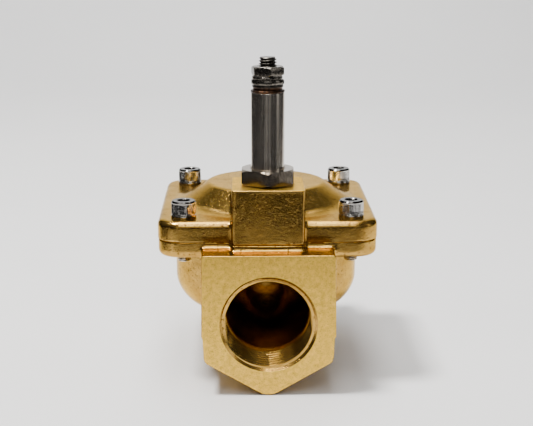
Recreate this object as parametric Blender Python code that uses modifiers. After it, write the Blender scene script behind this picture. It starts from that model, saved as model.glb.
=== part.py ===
"""Brass pilot-operated diaphragm solenoid valve, G1 ports, without its coil.

The flow runs along Y: the inlet port is at +Y, the outlet port at -Y.
The pilot operator (armature tube, plunger and core) stands on a square boss at the outlet side.
The origin is on the surface the valve stands on, halfway between the two port faces.
"""
import bmesh
import bpy
from math import cos, pi, radians, sin, sqrt, tan
from mathutils import Matrix, Vector

MM = 0.001

# ---- driving dimensions ------------------------------------------------------------------
# Heights are above the surface the valve stands on.
PORT_AXIS_Z = 25.4 * MM
BLOCK_TOP_Z = 49.85 * MM
FLANGE_BOTTOM_Z = 46.0 * MM
JOINT_Z = 51.9 * MM
BONNET_TOP_Z = 59.1 * MM
DOME_TOP_Z = 66.15 * MM
BOSS_TOP_Z = 71.1 * MM

HALF_LENGTH = 49.5 * MM          # port face to middle
PORT_HALF_WIDTH = 23.0 * MM      # hexagon, half of its across-flats size
PORT_BLOCK_REAR = 26.0 * MM      # how close to the middle each hexagon block reaches
THREAD_MINOR_R = 15.15 * MM      # G1 female thread, minor radius
PORT_MOUTH_R = 16.95 * MM
THREAD_DEPTH = 16.3 * MM
BORE_R = 14.5 * MM
ELBOW_R = 15.0 * MM
BARREL_R = 19.5 * MM
INLET_BORE_END = 18.5 * MM        # inside the ring chamber, clear of the seat tube
BODY_HALF = 38.45 * MM           # square body flange
BONNET_HALF = 38.65 * MM
CORNER_R = 8.0 * MM
BOWL_R = 33.8 * MM
CHAMBER_R = 29.3 * MM
DOME_TOP_R = 21.5 * MM
DOME_FOOT_R = 31.9 * MM
SEAT_BORE_R = 13.0 * MM
SEAT_OUTER_R = 15.8 * MM
SEAT_Z = 42.1 * MM
GASKET_GAP = 0.2 * MM            # between the bonnet and the body faces
FACING = 0.5 * MM                # stock that the facing cuts take off both joint faces
SLAB = 60 * MM                   # half the width of a facing cutter

BOSS_Y = -31.05 * MM             # axis of the pilot operator
BOSS_HALF_X = 12.6 * MM
BOSS_HALF_Y = 12.35 * MM
PASSAGE_Y = -39.0 * MM           # where the pilot passage crosses the joint

SCREW_PITCH = 59.0 * MM          # square pattern of the cap screws
SCREW_R = 2.5 * MM
SCREW_HEAD_R = 4.35 * MM
SCREW_HEAD_H = 5.0 * MM
SCREW_LENGTH = 16.8 * MM
SPRING_WASHER_T = 0.85 * MM
FIT_GAP = 0.05 * MM              # between flat faces that touch under a screw head

DIAPHRAGM_R = 34.3 * MM
PLUNGER_LIFT = 2.4 * MM

TUBE_R = 5.8 * MM
TUBE_BORE_R = 5.05 * MM
TUBE_TOP_Z = 103.25 * MM
CORE_FACE_Z = 88.4 * MM
CORE_R = 4.75 * MM
PLUNGER_R = 4.7 * MM
STUD_R = 3.0 * MM
STUD_TOP_Z = 115.35 * MM

ROUND_STEPS = 48
SMALL_STEPS = 24

MODEL_COLLECTION = "solenoid_valve"
CUTTER_COLLECTION = "cutters"


# ---- scene and materials -------------------------------------------------------------------
def clear_scene():
    for obj in list(bpy.data.objects):
        bpy.data.objects.remove(obj, do_unlink=True)
    for name in (MODEL_COLLECTION, CUTTER_COLLECTION):
        bpy.context.scene.collection.children.link(bpy.data.collections.new(name))


def principled(name, colour, metallic, roughness):
    material = bpy.data.materials.new(name)
    material.use_nodes = True
    shader = material.node_tree.nodes["Principled BSDF"]
    shader.inputs["Base Color"].default_value = (*colour, 1.0)
    shader.inputs["Metallic"].default_value = metallic
    shader.inputs["Roughness"].default_value = roughness
    return material


def make_materials():
    return {
        "brass": principled("brass", (0.74, 0.56, 0.27), 1.0, 0.34),
        "bonnet_brass": principled("bonnet_brass", (0.72, 0.54, 0.26), 1.0, 0.3),
        "inner_brass": principled("inner_brass", (0.7, 0.52, 0.25), 1.0, 0.4),
        "rubber": principled("rubber", (0.03, 0.03, 0.03), 0.0, 0.75),
        "stainless": principled("stainless", (0.52, 0.5, 0.48), 1.0, 0.32),
        "dark_steel": principled("dark_steel", (0.2, 0.19, 0.18), 1.0, 0.38),
        "plated_steel": principled("plated_steel", (0.68, 0.68, 0.69), 1.0, 0.22),
        "spring_steel": principled("spring_steel", (0.6, 0.6, 0.6), 1.0, 0.3),
        "copper": principled("copper", (0.78, 0.42, 0.28), 1.0, 0.3),
    }


# ---- shape helpers -------------------------------------------------------------------------
def add_object(name, mesh, collection):
    obj = bpy.data.objects.new(name, mesh)
    bpy.data.collections[collection].objects.link(obj)
    return obj


def mesh_from_bmesh(name, bm):
    mesh = bpy.data.meshes.new(name)
    bm.to_mesh(mesh)
    bm.free()
    return mesh


def as_cutter(obj):
    obj.hide_render = True
    obj.display_type = "WIRE"
    return obj


def box(name, low, high, collection=CUTTER_COLLECTION):
    low, high = Vector(low), Vector(high)
    bm = bmesh.new()
    bmesh.ops.create_cube(bm, size=1.0)
    bmesh.ops.scale(bm, vec=high - low, verts=bm.verts)
    obj = add_object(name, mesh_from_bmesh(name, bm), collection)
    obj.location = (low + high) / 2
    return as_cutter(obj) if collection == CUTTER_COLLECTION else obj


def rod(name, start, end, radius, end_radius=None, steps=ROUND_STEPS, collection=CUTTER_COLLECTION):
    """A cylinder or cone between two points."""
    start, end = Vector(start), Vector(end)
    bm = bmesh.new()
    bmesh.ops.create_cone(
        bm, cap_ends=True, segments=steps, radius1=radius,
        radius2=radius if end_radius is None else end_radius, depth=(end - start).length,
    )
    obj = add_object(name, mesh_from_bmesh(name, bm), collection)
    obj.location = (start + end) / 2
    obj.rotation_euler = (end - start).to_track_quat("Z", "Y").to_euler()
    return as_cutter(obj) if collection == CUTTER_COLLECTION else obj


def ball(name, centre, radius, collection=CUTTER_COLLECTION):
    bm = bmesh.new()
    bmesh.ops.create_uvsphere(bm, u_segments=ROUND_STEPS, v_segments=16, radius=radius)
    obj = add_object(name, mesh_from_bmesh(name, bm), collection)
    obj.location = centre
    return as_cutter(obj) if collection == CUTTER_COLLECTION else obj


def turned(
    name, profile, place=(0.0, 0.0), steps=ROUND_STEPS, ring=False,
    collection=MODEL_COLLECTION,
):
    """A lathe shape from (radius, height) points that run down the outer side.

    A ring closes on itself; any other profile starts and ends on the axis.
    """
    base_z = min(height for _, height in profile)
    mesh = bpy.data.meshes.new(name)
    vertices = [(radius, 0.0, height - base_z) for radius, height in profile]
    edges = [(i, i + 1) for i in range(len(profile) - 1)]
    if ring:
        edges.append((len(profile) - 1, 0))
    mesh.from_pydata(vertices, edges, [])
    obj = add_object(name, mesh, collection)
    obj.location = (place[0], place[1], base_z)
    screw = obj.modifiers.new("lathe", "SCREW")
    screw.steps = screw.render_steps = steps
    screw.use_merge_vertices = True
    screw.merge_threshold = 0.00001
    screw.use_smooth_shade = True
    return as_cutter(obj) if collection == CUTTER_COLLECTION else obj


def curve_to_mesh_object(name, curve, matrix, collection):
    """Turns a curve into a closed mesh object whose end caps are welded on."""
    guide = bpy.data.objects.new(name + "_curve", curve)
    bpy.context.scene.collection.objects.link(guide)
    guide.matrix_world = matrix
    bpy.context.view_layer.update()
    evaluated = guide.evaluated_get(bpy.context.evaluated_depsgraph_get())
    mesh = bpy.data.meshes.new_from_object(evaluated)
    bm = bmesh.new()
    bm.from_mesh(mesh)
    bmesh.ops.remove_doubles(bm, verts=bm.verts, dist=0.000001)
    bmesh.ops.recalc_face_normals(bm, faces=bm.faces)
    bm.to_mesh(mesh)
    bm.free()
    mesh.name = name
    obj = add_object(name, mesh, collection)
    obj.matrix_world = matrix
    bpy.data.objects.remove(guide, do_unlink=True)
    return as_cutter(obj) if collection == CUTTER_COLLECTION else obj


def plate(name, outline, thickness, matrix, collection):
    """A flat outline in local X and Y, with its thickness centred on local Z."""
    curve = bpy.data.curves.new(name, "CURVE")
    curve.dimensions = "2D"
    curve.fill_mode = "BOTH"
    curve.extrude = thickness / 2
    spline = curve.splines.new("POLY")
    spline.points.add(len(outline) - 1)
    for point, (x, y) in zip(spline.points, outline):
        point.co = (x, y, 0.0, 1.0)
    spline.use_cyclic_u = True
    return curve_to_mesh_object(name, curve, matrix, collection)


def level_plate(
    name, outline, bottom, top, centre=(0.0, 0.0), turn=0.0, collection=CUTTER_COLLECTION,
):
    middle = Vector((centre[0], centre[1], (bottom + top) / 2))
    matrix = Matrix.Translation(middle) @ Matrix.Rotation(turn, 4, "Z")
    return plate(name, outline, top - bottom, matrix, collection)


def rounded_square(half, radius, corner_steps=8):
    points = []
    for quarter in range(4):
        middle = Vector((half - radius, half - radius))
        for i in range(corner_steps + 1):
            angle = pi / 2 * i / corner_steps
            corner = middle + radius * Vector((cos(angle), sin(angle)))
            corner.rotate(Matrix.Rotation(pi / 2 * quarter, 2))
            points.append(corner.to_tuple())
    return points


def hexagon(across_flats):
    radius = across_flats / sqrt(3)
    return [(radius * cos(pi / 3 * i), radius * sin(pi / 3 * i)) for i in range(6)]


def coil(name, radius, wire_radius, bottom, top, turns, place, turn_steps=12):
    """A compression spring as a wire along a helix."""
    curve = bpy.data.curves.new(name, "CURVE")
    curve.dimensions = "3D"
    curve.bevel_depth = wire_radius
    curve.bevel_resolution = 2
    curve.use_fill_caps = True
    count = turns * turn_steps + 1
    spline = curve.splines.new("POLY")
    spline.points.add(count - 1)
    rise = top - bottom - 2 * wire_radius
    for i, point in enumerate(spline.points):
        angle = 2 * pi * i / turn_steps
        height = wire_radius + rise * i / (count - 1)
        point.co = (radius * cos(angle), radius * sin(angle), height, 1.0)
    matrix = Matrix.Translation((place[0], place[1], bottom))
    return curve_to_mesh_object(name, curve, matrix, MODEL_COLLECTION)


def nut_blank(name, across_flats, bottom, top, place, turn, bore_r, steps=SMALL_STEPS):
    """A hexagon nut with a plain bore."""
    nut = level_plate(name, hexagon(across_flats), bottom, top, place, turn, MODEL_COLLECTION)
    below = (place[0], place[1], bottom - 1 * MM)
    above = (place[0], place[1], top + 1 * MM)
    cut(nut, rod(name + "_bore", below, above, bore_r, steps=steps))
    return nut


def split_ring(name, inner, outer, thickness, rise, bottom, place, gap_turn=0.0, gap_angle=14.0):
    """A split lock washer: a flat bar bent round a helix, open at one place."""
    section = bpy.data.curves.new(name + "_section", "CURVE")
    section.dimensions = "2D"
    bar = section.splines.new("POLY")
    bar.points.add(3)
    half_width = (outer - inner) / 2
    corners = ((-1, -1), (1, -1), (1, 1), (-1, 1))
    for point, (side, level) in zip(bar.points, corners):
        point.co = (side * half_width, level * thickness / 2, 0.0, 1.0)
    bar.use_cyclic_u = True
    section_object = bpy.data.objects.new(name + "_section", section)
    bpy.context.scene.collection.objects.link(section_object)
    curve = bpy.data.curves.new(name, "CURVE")
    curve.dimensions = "3D"
    curve.twist_mode = "Z_UP"
    curve.bevel_mode = "OBJECT"
    curve.bevel_object = section_object
    curve.use_fill_caps = True
    spline = curve.splines.new("POLY")
    count = 33
    spline.points.add(count - 1)
    sweep = radians(360.0 - gap_angle)
    middle = (inner + outer) / 2
    for i, point in enumerate(spline.points):
        share = i / (count - 1)
        angle = gap_turn + radians(gap_angle) / 2 + sweep * share
        point.co = (middle * cos(angle), middle * sin(angle), thickness / 2 + rise * share, 1.0)
    matrix = Matrix.Translation((place[0], place[1], bottom))
    ring = curve_to_mesh_object(name, curve, matrix, MODEL_COLLECTION)
    bpy.data.objects.remove(section_object, do_unlink=True)
    return ring


def boolean(target, tool, operation):
    modifier = target.modifiers.new(tool.name, "BOOLEAN")
    modifier.operation = operation
    modifier.solver = "EXACT"
    modifier.object = tool


def add(target, *tools):
    for tool in tools:
        boolean(target, tool, "UNION")


def cut(target, *tools):
    for tool in tools:
        boolean(target, tool, "DIFFERENCE")


def finish(obj, material):
    obj.data.materials.append(material)
    if obj.data.polygons:
        obj.data.shade_smooth()
        obj.data.set_sharp_from_angle(angle=radians(35.0))
    return obj


def ride_on(parent, *children):
    """Parents pieces that move together to one empty, and leaves them where they are."""
    for child in children:
        child.parent = parent
        child.matrix_parent_inverse = Matrix.Translation(parent.location).inverted()


def empty(name, location):
    carrier = bpy.data.objects.new(name, None)
    carrier.location = location
    bpy.data.collections[MODEL_COLLECTION].objects.link(carrier)
    return carrier


# ---- valve body ----------------------------------------------------------------------------
def screw_places():
    half = SCREW_PITCH / 2
    return {
        "front_left": (-half, -half), "front_right": (half, -half),
        "rear_left": (-half, half), "rear_right": (half, half),
    }


def bowl_profile():
    """Round bowl under the flange: a straight wall, a rounded foot and a shallow cone."""
    foot_r = 7.5 * MM
    foot_z = PORT_AXIS_Z + 3.3 * MM
    cone_slope = radians(20.0)
    points = [(0.0, FLANGE_BOTTOM_Z + 2 * MM), (BOWL_R, FLANGE_BOTTOM_Z + 2 * MM)]
    steps = 8
    for i in range(steps + 1):
        angle = (pi / 2 - cone_slope) * i / steps
        points.append((BOWL_R - foot_r * (1 - cos(angle)), foot_z - foot_r * sin(angle)))
    radius, height = points[-1]
    points.append((0.0, height - radius * tan(cone_slope)))
    return points


def port_block(name, side):
    """Hexagon wrench block with a flat top; side is -1 at the outlet and 1 at the inlet."""
    foot_half = (2 * PORT_HALF_WIDTH / sqrt(3) - PORT_AXIS_Z) * sqrt(3)
    low_corner = -PORT_HALF_WIDTH / sqrt(3)
    top = BLOCK_TOP_Z - PORT_AXIS_Z
    right = [(foot_half, -PORT_AXIS_Z), (PORT_HALF_WIDTH, low_corner), (PORT_HALF_WIDTH, top)]
    outline = right + [(-x, z) for x, z in reversed(right)]
    middle = side * (HALF_LENGTH + PORT_BLOCK_REAR) / 2
    matrix = Matrix.Translation((0.0, middle, PORT_AXIS_Z)) @ Matrix.Rotation(pi / 2, 4, "X")
    return plate(name, outline, HALF_LENGTH - PORT_BLOCK_REAR, matrix, CUTTER_COLLECTION)


def cut_port(body, name, side, bore_end):
    """Chamfered mouth, thread-size bore and the plain bore behind it."""
    def at(depth):
        return (0.0, side * (HALF_LENGTH - depth), PORT_AXIS_Z)

    chamfer = PORT_MOUTH_R - THREAD_MINOR_R
    overshoot = 1 * MM
    cut(
        body,
        rod(
            name + "_chamfer", at(-overshoot), at(chamfer), PORT_MOUTH_R + overshoot,
            THREAD_MINOR_R,
        ),
        rod(name + "_thread_bore", at(-overshoot), at(THREAD_DEPTH), THREAD_MINOR_R),
        rod(name + "_bore", at(THREAD_DEPTH - overshoot), (0.0, bore_end, PORT_AXIS_Z), BORE_R),
    )


def inlet_chamber():
    """Ring chamber round the seat, cleared from the seat tube and the outlet duct."""
    floor = PORT_AXIS_Z + 1.5 * MM
    wall = 2.0 * MM
    chamber = rod("chamber", (0, 0, floor), (0, 0, JOINT_Z + 1 * MM), CHAMBER_R)
    centre = (0.0, 0.0, PORT_AXIS_Z)
    cut(
        chamber,
        rod("duct_wall", (0, -CHAMBER_R - 2 * MM, PORT_AXIS_Z), centre, BORE_R + wall),
        ball("duct_end_wall", centre, ELBOW_R + wall - 0.3 * MM),
        rod("seat_wall", (0, 0, floor - 1 * MM), (0, 0, SEAT_Z), SEAT_OUTER_R),
    )
    return chamber


def make_body(material):
    body = level_plate(
        "valve_body", rounded_square(BODY_HALF, CORNER_R), FLANGE_BOTTOM_Z, JOINT_Z + FACING,
        collection=MODEL_COLLECTION,
    )
    axis = PORT_AXIS_Z
    barrel_end = PORT_BLOCK_REAR + 1 * MM
    lug_front = BOSS_Y - BOSS_HALF_Y
    lug_rear = -30.0 * MM
    lug_bottom = FLANGE_BOTTOM_Z + 0.5 * MM
    pad_x = 11.0 * MM
    pad_y = 12.0 * MM
    add(
        body,
        turned("bowl", bowl_profile(), collection=CUTTER_COLLECTION),
        port_block("outlet_block", -1),
        port_block("inlet_block", 1),
        rod("barrel", (0, -barrel_end, axis), (0, barrel_end, axis), BARREL_R),
        box(
            "pilot_lug", (-BOSS_HALF_X, lug_front, lug_bottom),
            (BOSS_HALF_X, lug_rear, JOINT_Z + 2 * FACING),
        ),
        box("foot_pad", (-pad_x, -pad_y, 0), (pad_x, pad_y, 12 * MM)),
    )
    cut_port(body, "outlet", -1, 0.0)
    cut_port(body, "inlet", 1, INLET_BORE_END)
    above = JOINT_Z + 1 * MM
    recess_floor = JOINT_Z - 1.9 * MM
    pocket_floor = JOINT_Z - 1.1 * MM
    drain_end = (0, -29 * MM, axis + 12 * MM)
    tapped_floor = 40 * MM
    cut(
        body,
        box("body_facing", (-SLAB, -SLAB, JOINT_Z), (SLAB, SLAB, JOINT_Z + 5 * MM)),
        ball("outlet_elbow", (0, 0, axis), ELBOW_R),
        rod("seat_bore", (0, 0, axis), (0, 0, SEAT_Z + 1 * MM), SEAT_BORE_R),
        inlet_chamber(),
        rod("diaphragm_recess", (0, 0, recess_floor), (0, 0, above), DIAPHRAGM_R + 0.3 * MM),
        rod("pilot_drain", (0, PASSAGE_Y, above), drain_end, 1.4 * MM, steps=16),
        rod(
            "o_ring_pocket", (0, PASSAGE_Y, pocket_floor), (0, PASSAGE_Y, above), 3.1 * MM,
            steps=SMALL_STEPS,
        ),
    )
    for place, (x, y) in screw_places().items():
        tapped = (x, y, tapped_floor)
        cut(body, rod("tapped_" + place, tapped, (x, y, above), SCREW_R + 0.2 * MM, steps=24))
    return finish(body, material)


# ---- bonnet --------------------------------------------------------------------------------
def dome_profile():
    inside = BONNET_TOP_Z - 2 * MM
    return [
        (0.0, DOME_TOP_Z), (DOME_TOP_R, DOME_TOP_Z), (DOME_FOOT_R, BONNET_TOP_Z),
        (DOME_FOOT_R, inside), (0.0, inside),
    ]


def dome_cavity_profile():
    roof = DOME_TOP_Z - 4.4 * MM
    wall_top = JOINT_Z + 1.8 * MM
    below = JOINT_Z - 1 * MM
    wall_r = 28.2 * MM
    return [(0.0, roof), (15.5 * MM, roof), (wall_r, wall_top), (wall_r, below), (0.0, below)]


def make_bonnet(material):
    bottom = JOINT_Z + GASKET_GAP
    bonnet = level_plate(
        "bonnet", rounded_square(BONNET_HALF, CORNER_R), bottom - FACING, BONNET_TOP_Z,
        collection=MODEL_COLLECTION,
    )
    low = (-BOSS_HALF_X, BOSS_Y - BOSS_HALF_Y, bottom - 2 * FACING)
    high = (BOSS_HALF_X, BOSS_Y + BOSS_HALF_Y, BOSS_TOP_Z)
    add(
        bonnet,
        turned("dome", dome_profile(), collection=CUTTER_COLLECTION),
        box("boss", low, high),
    )
    gland_floor = BOSS_TOP_Z - 8.7 * MM
    chamber_floor = BOSS_TOP_Z - 11.9 * MM
    seat_floor = BOSS_TOP_Z - 14.1 * MM
    above = BOSS_TOP_Z + 1 * MM
    outlet_start = (0, BOSS_Y, seat_floor + 0.5 * MM)
    supply_start = (0, BOSS_Y + 4 * MM, chamber_floor + 1 * MM)
    cut(
        bonnet,
        box("bonnet_facing", (-SLAB, -SLAB, bottom - 5 * MM), (SLAB, SLAB, bottom)),
        turned("dome_cavity", dome_cavity_profile(), collection=CUTTER_COLLECTION),
        rod("gland_thread", (0, BOSS_Y, gland_floor), (0, BOSS_Y, above), 7.15 * MM, steps=36),
        rod("pilot_chamber", (0, BOSS_Y, chamber_floor), (0, BOSS_Y, above), 5.6 * MM, steps=36),
        rod(
            "pilot_seat_pocket", (0, BOSS_Y, seat_floor), (0, BOSS_Y, above), 3.15 * MM,
            steps=SMALL_STEPS,
        ),
        rod("pilot_outlet", outlet_start, (0, PASSAGE_Y, JOINT_Z - 0.3 * MM), 1.2 * MM, steps=16),
        rod("pilot_supply", supply_start, (0, -20 * MM, JOINT_Z + 3 * MM), 1.0 * MM, steps=16),
    )
    for place, (x, y) in screw_places().items():
        hole_low = (x, y, JOINT_Z - 1 * MM)
        hole_high = (x, y, BONNET_TOP_Z + 1 * MM)
        cut(bonnet, rod("clearance_" + place, hole_low, hole_high, SCREW_R + 0.3 * MM, steps=24))
    return finish(bonnet, material)


# ---- diaphragm and its clamp ---------------------------------------------------------------
def make_diaphragm_group(materials):
    closed_z = SEAT_Z + 0.3 * MM          # underside of the rubber on its seat
    rubber_top = closed_z + 2.6 * MM
    rim_low = JOINT_Z - 1.7 * MM
    rim_high = JOINT_Z - 0.1 * MM
    hole_r = 3.2 * MM
    diaphragm = turned("diaphragm", [
        (hole_r, rubber_top), (18.4 * MM, rubber_top), (27.6 * MM, rim_high),
        (DIAPHRAGM_R, rim_high), (DIAPHRAGM_R, rim_low), (28.6 * MM, rim_low),
        (18.9 * MM, closed_z), (hole_r, closed_z),
    ], ring=True)
    plate_low = rubber_top + 0.2 * MM
    plate_high = plate_low + 1.5 * MM
    support = turned("support_plate", [
        (hole_r, plate_high), (15.8 * MM, plate_high), (15.8 * MM, plate_high + 1.2 * MM),
        (17.0 * MM, plate_high + 1.2 * MM), (17.0 * MM, plate_low), (hole_r, plate_low),
    ], ring=True)
    disc_high = closed_z - 0.2 * MM
    disc_low = disc_high - 1.9 * MM
    clamp_disc = turned("clamp_disc", [
        (hole_r, disc_high), (11.8 * MM, disc_high), (11.8 * MM, disc_low + 0.6 * MM),
        (11.2 * MM, disc_low), (hole_r, disc_low),
    ], ring=True, steps=36)
    head_top = disc_low - 0.2 * MM
    screw_top = plate_high + 4.4 * MM
    head_low = head_top - 2.2 * MM
    clamp_r = 2.9 * MM
    clamp_screw = turned("clamp_screw", [
        (0.0, screw_top), (2.5 * MM, screw_top), (clamp_r, screw_top - 0.4 * MM),
        (clamp_r, head_top), (5.0 * MM, head_top), (5.0 * MM, head_low + 0.6 * MM),
        (4.4 * MM, head_low), (0.0, head_low),
    ], steps=SMALL_STEPS)
    nut_low = plate_high + 0.2 * MM
    nut_high = nut_low + 3.2 * MM
    clamp_nut = nut_blank("clamp_nut", 10 * MM, nut_low, nut_high, (0, 0), 0.0, 3.1 * MM)
    spring_low = plate_high + 0.2 * MM
    spring_high = DOME_TOP_Z - 4.6 * MM
    spring = coil("diaphragm_spring", 10 * MM, 0.6 * MM, spring_low, spring_high, 5, (0, 0))
    carrier = empty("diaphragm_carrier", (0, 0, closed_z))
    ride_on(carrier, diaphragm, support, clamp_disc, clamp_screw, clamp_nut)
    finish(diaphragm, materials["rubber"])
    finish(support, materials["stainless"])
    finish(clamp_disc, materials["inner_brass"])
    finish(clamp_screw, materials["stainless"])
    finish(clamp_nut, materials["stainless"])
    finish(spring, materials["spring_steel"])


# ---- pilot operator ------------------------------------------------------------------------
def make_seals_and_seat(materials):
    seat_low = BOSS_TOP_Z - 14.0 * MM
    flange_top = BOSS_TOP_Z - 11.7 * MM
    nozzle_top = flange_top + 1.2 * MM
    bore = 0.6 * MM
    pilot_seat = turned("pilot_seat", [
        (bore, nozzle_top), (1.2 * MM, nozzle_top), (1.9 * MM, flange_top), (2.95 * MM, flange_top),
        (2.95 * MM, seat_low), (bore, seat_low),
    ], place=(0, BOSS_Y), ring=True, steps=24)
    finish(pilot_seat, materials["stainless"])
    tube_ring = o_ring("tube_o_ring", 6.35 * MM, 0.6 * MM, BOSS_TOP_Z - 8.0 * MM, (0, BOSS_Y))
    passage_ring = o_ring("passage_o_ring", 2.2 * MM, 0.5 * MM, JOINT_Z - 0.45 * MM, (0, PASSAGE_Y))
    for ring in (tube_ring, passage_ring):
        finish(ring, materials["rubber"])


def o_ring(name, radius, cord_radius, height, place):
    section = [
        (radius + cord_radius * sin(2 * pi * i / 8), height + cord_radius * cos(2 * pi * i / 8))
        for i in range(8)
    ]
    return turned(name, section, place=place, ring=True, steps=SMALL_STEPS)


def make_tube(material):
    """Armature tube with a collar at its foot, open at both ends."""
    collar_low = BOSS_TOP_Z - 7.2 * MM
    collar_high = collar_low + 1.5 * MM
    collar_r = 6.7 * MM
    tube = turned("armature_tube", [
        (TUBE_BORE_R, TUBE_TOP_Z), (TUBE_R, TUBE_TOP_Z), (TUBE_R, collar_high),
        (collar_r, collar_high), (collar_r, collar_low), (TUBE_BORE_R, collar_low),
    ], place=(0, BOSS_Y), ring=True, steps=36)
    return finish(tube, material)


def make_base_nut(material):
    """Gland nut that screws into the boss and holds the tube's collar down."""
    hex_low = BOSS_TOP_Z + 0.5 * MM
    hex_high = BOSS_TOP_Z + 5.7 * MM
    shank_low = BOSS_TOP_Z - 5.5 * MM
    place = (0, BOSS_Y)
    hexagon_turn = radians(28.5)
    nut = level_plate(
        "base_nut", hexagon(18 * MM), hex_low, hex_high, place, hexagon_turn, MODEL_COLLECTION,
    )
    shank_high = hex_low + 1 * MM
    add(nut, rod("gland_shank", (*place, shank_low), (*place, shank_high), 6.9 * MM, steps=36))
    bore_low = shank_low - 1 * MM
    bore_high = hex_high + 1 * MM
    bore_r = TUBE_R + 0.2 * MM
    cut(nut, rod("gland_bore", (*place, bore_low), (*place, bore_high), bore_r, steps=36))
    return finish(nut, material)


def make_core(materials):
    """Fixed core that closes the tube, with the threaded stud that holds the coil."""
    groove_r = 4.15 * MM
    groove_inner = 3.25 * MM
    groove_top = CORE_FACE_Z + 1.2 * MM
    cap_low = TUBE_TOP_Z + 0.2 * MM
    cap_high = TUBE_TOP_Z + 2.55 * MM
    cap_r = 5.3 * MM
    neck_r = 5.05 * MM
    bead_r = 5.7 * MM
    stud_edge = 0.5 * MM
    core = turned("fixed_core", [
        (0.0, STUD_TOP_Z), (STUD_R - stud_edge, STUD_TOP_Z), (STUD_R, STUD_TOP_Z - stud_edge),
        (STUD_R, cap_high), (cap_r, cap_high), (cap_r, cap_high - 0.5 * MM),
        (neck_r, cap_high - 0.8 * MM), (neck_r, cap_low + 0.7 * MM), (bead_r, cap_low + 0.3 * MM),
        (bead_r, cap_low), (CORE_R, cap_low), (CORE_R, CORE_FACE_Z), (groove_r, CORE_FACE_Z),
        (groove_r, groove_top), (groove_inner, groove_top), (groove_inner, CORE_FACE_Z),
        (0.0, CORE_FACE_Z),
    ], place=(0, BOSS_Y), steps=32)
    finish(core, materials["stainless"])
    ring_top = groove_top - 0.1 * MM
    ring_inner = 3.4 * MM
    ring_outer = 4.0 * MM
    shading_ring = turned("shading_ring", [
        (ring_inner, ring_top), (ring_outer, ring_top), (ring_outer, CORE_FACE_Z),
        (ring_inner, CORE_FACE_Z),
    ], place=(0, BOSS_Y), ring=True, steps=SMALL_STEPS)
    finish(shading_ring, materials["copper"])


def make_plunger_group(materials):
    """Moving plunger, its seal disc and the spring between it and the core."""
    low = BOSS_TOP_Z - 9.9 * MM
    high = CORE_FACE_Z - PLUNGER_LIFT - 0.1 * MM
    spring_hole_r = 2.6 * MM
    spring_floor = high - 9 * MM
    seal_hole_r = 3.2 * MM
    seal_roof = low + 2.4 * MM
    edge = 0.4 * MM
    plunger = turned("plunger", [
        (0.0, spring_floor), (spring_hole_r, spring_floor), (spring_hole_r, high),
        (PLUNGER_R - edge, high), (PLUNGER_R, high - edge), (PLUNGER_R, low + edge),
        (PLUNGER_R - edge, low), (seal_hole_r, low), (seal_hole_r, seal_roof), (0.0, seal_roof),
    ], place=(0, BOSS_Y), steps=32)
    seal_r = 3.05 * MM
    seal_high = seal_roof - 0.1 * MM
    seal_low = low - 0.35 * MM
    seal = turned("plunger_seal", [
        (0.0, seal_high), (seal_r, seal_high), (seal_r, seal_low), (0.0, seal_low),
    ], place=(0, BOSS_Y), steps=SMALL_STEPS)
    spring_low = spring_floor + 0.15 * MM
    spring_high = CORE_FACE_Z - 0.15 * MM
    spring = coil(
        "plunger_spring", 2.0 * MM, 0.25 * MM, spring_low, spring_high, 8, (0, BOSS_Y),
        turn_steps=9,
    )
    carrier = empty("plunger_carrier", (0, BOSS_Y, low))
    ride_on(carrier, plunger, seal)
    finish(plunger, materials["stainless"])
    finish(seal, materials["rubber"])
    finish(spring, materials["spring_steel"])


def make_coil_fasteners(material):
    """Split lock washer, plain washer and thin nut on the stud, left on when the coil is off."""
    bore_r = 3.2 * MM
    lock_low = TUBE_TOP_Z + 2.7 * MM
    thickness = 1.75 * MM
    rise = 0.15 * MM
    lock_washer = split_ring(
        "lock_washer", bore_r, 5.7 * MM, thickness, rise, lock_low, (0, BOSS_Y),
        gap_turn=radians(-18.0),
    )
    flat_low = lock_low + thickness + rise + FIT_GAP
    flat_high = flat_low + 0.95 * MM
    flat_r = 5.3 * MM
    flat_washer = turned("coil_washer", [
        (bore_r, flat_high), (flat_r, flat_high), (flat_r, flat_low), (bore_r, flat_low),
    ], place=(0, BOSS_Y), ring=True, steps=36)
    nut_low = TUBE_TOP_Z + 5.8 * MM
    nut_high = nut_low + 3.2 * MM
    turn = radians(-81.0)
    nut = nut_blank("coil_nut", 10.2 * MM, nut_low, nut_high, (0, BOSS_Y), turn, 3.15 * MM)
    finish(lock_washer, material)
    finish(flat_washer, material)
    finish(nut, material)


# ---- bonnet screws -------------------------------------------------------------------------
def cap_screw(name, x, y, material):
    head_low = BONNET_TOP_Z + SPRING_WASHER_T + 2 * FIT_GAP
    head_high = head_low + SCREW_HEAD_H
    end = head_low - SCREW_LENGTH
    edge = 0.4 * MM
    screw = turned(name, [
        (0.0, head_high), (SCREW_HEAD_R - edge, head_high), (SCREW_HEAD_R, head_high - edge),
        (SCREW_HEAD_R, head_low), (SCREW_R, head_low), (SCREW_R, end + edge),
        (SCREW_R - edge, end), (0.0, end),
    ], place=(x, y), steps=SMALL_STEPS)
    socket = level_plate(
        name + "_socket", hexagon(4.1 * MM), head_high - 2.6 * MM, head_high + 1 * MM, (x, y),
        radians(20.0),
    )
    cut(screw, socket)
    return finish(screw, material)


def make_fasteners(materials):
    washer_low = BONNET_TOP_Z + FIT_GAP
    washer_high = washer_low + SPRING_WASHER_T
    inner, outer = 2.65 * MM, 4.5 * MM
    for place, (x, y) in screw_places().items():
        cap_screw("cap_screw_" + place, x, y, materials["plated_steel"])
        washer = turned("spring_washer_" + place, [
            (inner, washer_high), (outer, washer_high), (outer, washer_low), (inner, washer_low),
        ], place=(x, y), ring=True, steps=SMALL_STEPS)
        finish(washer, materials["plated_steel"])


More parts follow.
